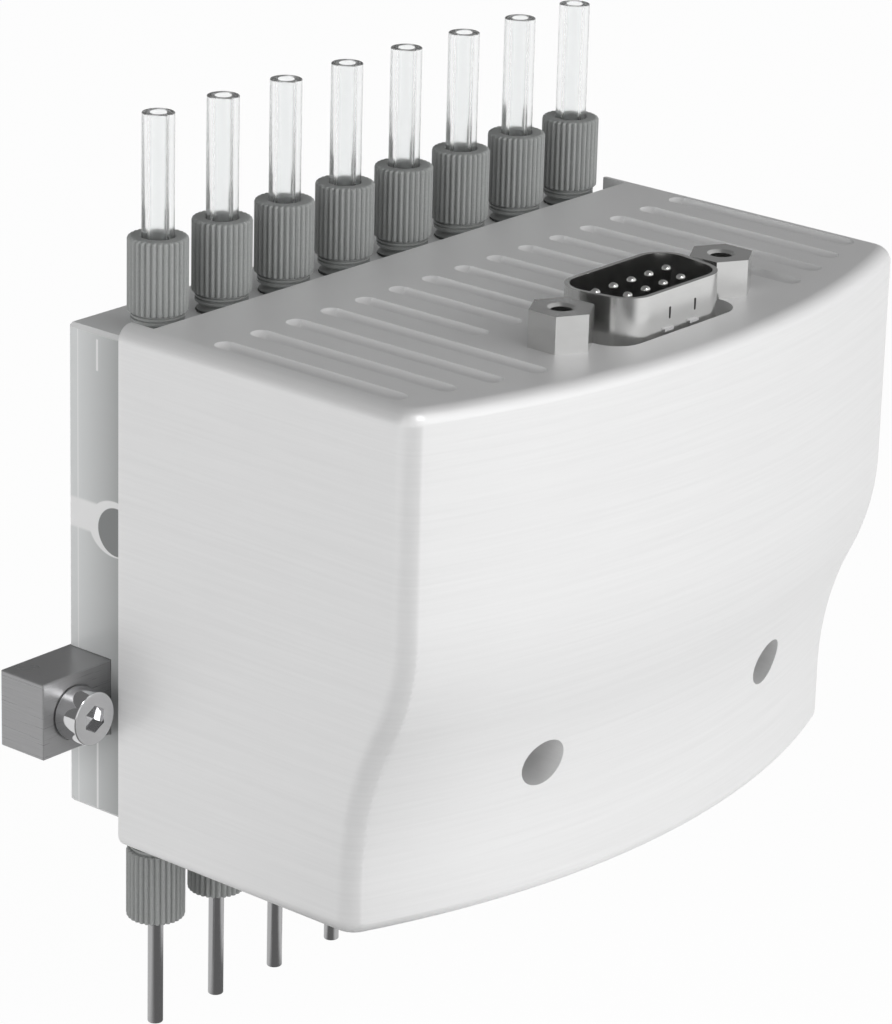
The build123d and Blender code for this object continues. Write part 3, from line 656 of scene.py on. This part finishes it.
# ---- CAD nodes that stay as they are ------------------------------------------------------
def paint(node, material):
    """Gives a CAD node its material."""
    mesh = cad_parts[node].data
    mesh.materials.clear()
    mesh.materials.append(material)


paint("mounting_bar", BAR)
paint("threaded_inserts", INSERT)
paint("m2_cap_screws", SCREW)
paint("circuit_board", BOARD)
paint("valve_seals", RUBBER)
for number in CHANNELS:
    paint(f"valve_{number}", BLACK)
    paint(f"valve_plunger_{number}", INSERT)


# ---- floor, world, lamps and camera -------------------------------------------------------
def pale_floor(height):
    """A wide pale floor. Seen by the camera, in metal or through clear parts it is lifted to
    white, and keeps a part of the object's shadow."""
    shape = bmesh.new()
    bmesh.ops.create_circle(shape, cap_ends=True, segments=96, radius=6.0,
                            matrix=Matrix.Translation((0, 0, height)))
    mesh = bpy.data.meshes.new("pale_floor")
    shape.to_mesh(mesh)
    shape.free()
    floor = bpy.data.objects.new("pale_floor", mesh)
    bpy.context.scene.collection.objects.link(floor)
    floor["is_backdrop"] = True
    material = bpy.data.materials.new("pale_studio_floor")
    material.use_nodes = True
    tree = material.node_tree
    tree.nodes.clear()
    matt = add(tree, "BsdfDiffuse", None, {"Color": linear("#F2F2F2")})
    rays = add(tree, "LightPath")
    # in metal, the floor ahead and to the left is dim, as if a dark screen stood there
    flat = add(tree, "VectorMath", {"operation": "MULTIPLY"},
               {0: add(tree, "TexCoord").outputs["Object"], 1: (1, 1, 0)})
    way = add(tree, "VectorMath", {"operation": "NORMALIZE"}, {0: flat.outputs["Vector"]})
    ahead = add(tree, "VectorMath", {"operation": "DOT_PRODUCT"},
                {0: way.outputs["Vector"], 1: (-0.75, -0.66, 0)})
    dim = add(tree, "MapRange", {"interpolation_type": "SMOOTHSTEP"},
              {"Value": ahead.outputs["Value"], "From Min": 0.7, "From Max": 0.95})
    dim = times(tree, dim.outputs["Result"], rays.outputs["Is Glossy Ray"])
    strength = add(tree, "Math", {"operation": "MULTIPLY_ADD"}, {0: dim, 1: -0.8, 2: 1.0})
    white = add(tree, "Emission", None, {"Color": linear("#FFFFFF"),
                                         "Strength": strength.outputs[0]})
    share = dim
    for kind, part in (("Camera", 0.97), ("Transmission", 0.95), ("Glossy", 0.68)):
        seen = times(tree, rays.outputs[f"Is {kind} Ray"], part)
        share = add(tree, "Math", {"operation": "MAXIMUM"}, {0: share, 1: seen}).outputs[0]
    mixed = add(tree, "MixShader", None, {0: share, 1: matt.outputs[0], 2: white.outputs[0]})
    add(tree, "OutputMaterial", None, {"Surface": mixed.outputs[0]})
    mesh.materials.append(material)


def studio_world():
    """Soft sky: bright low in front, dim overhead and behind, as in a tent with a dark top."""
    world = bpy.data.worlds.new("studio")
    bpy.context.scene.world = world
    world.use_nodes = True
    tree = world.node_tree
    tree.nodes.clear()
    way = add(tree, "TexCoord").outputs["Generated"]
    ahead = add(tree, "VectorMath", {"operation": "DOT_PRODUCT"}, {0: way, 1: (0.2, -0.75, -0.63)})
    level = add(tree, "MapRange", {"interpolation_type": "SMOOTHSTEP"},
                {"Value": ahead.outputs["Value"], "From Min": -0.7, "From Max": 0.9,
                 "To Min": 0.17, "To Max": 1.05})
    sky = add(tree, "Background", None, {"Color": linear("#FFFFFF"),
                                         "Strength": level.outputs["Result"]})
    add(tree, "OutputWorld", None, {"Surface": sky.outputs[0]})


def soft_lamp(name, where, target, size, power):
    """A rectangular lamp that lights surfaces but doesn't show in metal. Size is in metres."""
    data = bpy.data.lights.new(name, "AREA")
    data.shape = "RECTANGLE"
    data.size, data.size_y = size
    data.energy = power
    lamp = bpy.data.objects.new(name, data)
    lamp.location = where
    lamp.visible_glossy = False
    lamp.rotation_euler = (Vector(target) - Vector(where)).to_track_quat("-Z", "Y").to_euler()
    bpy.context.scene.collection.objects.link(lamp)
    return lamp


FLOOR_GAP = 5.0               # under the needles, which come down by 3.2
CAMERA_PLACE = (-327.81, -292.40, 156.96)
CAMERA_TARGET = (12.64, -7.83, -5.11)
CAMERA_ROLL = 1.56            # degrees
CAMERA_LENS = 156.5

centre = (cad_low + cad_high) / 2
pale_floor(cad_low.z - FLOOR_GAP * MM)
studio_world()
soft_lamp("front_lamp", (0.15, -0.95, 0.12), centre, (0.9, 0.8), 4.9)
soft_lamp("left_lamp", (-0.9, -0.1, 0.15), centre, (0.7, 0.7), 3.8)


# a small lamp that only bright metal shows, as a glint on pins, screws and edges
glint = soft_lamp("glint_lamp", (-0.15, -0.4, 0.5), centre, (0.16, 0.16), 0.7)
glint.visible_diffuse = False
glint.visible_glossy = True


def studio_camera():
    """A long lens, ahead, to the left and above, with a slight roll."""
    data = bpy.data.cameras.new("camera")
    data.sensor_width = 36.0
    data.lens = CAMERA_LENS
    data.clip_start, data.clip_end = 0.01, 20.0
    camera = bpy.data.objects.new("camera", data)
    where, target = Vector(CAMERA_PLACE) * MM, Vector(CAMERA_TARGET) * MM
    look = (target - where).to_track_quat("-Z", "Y").to_matrix().to_4x4()
    roll = Matrix.Rotation(radians(CAMERA_ROLL), 4, "Z")
    camera.matrix_world = Matrix.Translation(where) @ look @ roll
    bpy.context.scene.collection.objects.link(camera)
    bpy.context.scene.camera = camera


studio_camera()
bpy.context.scene.view_settings.view_transform = "Standard"

low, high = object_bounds()
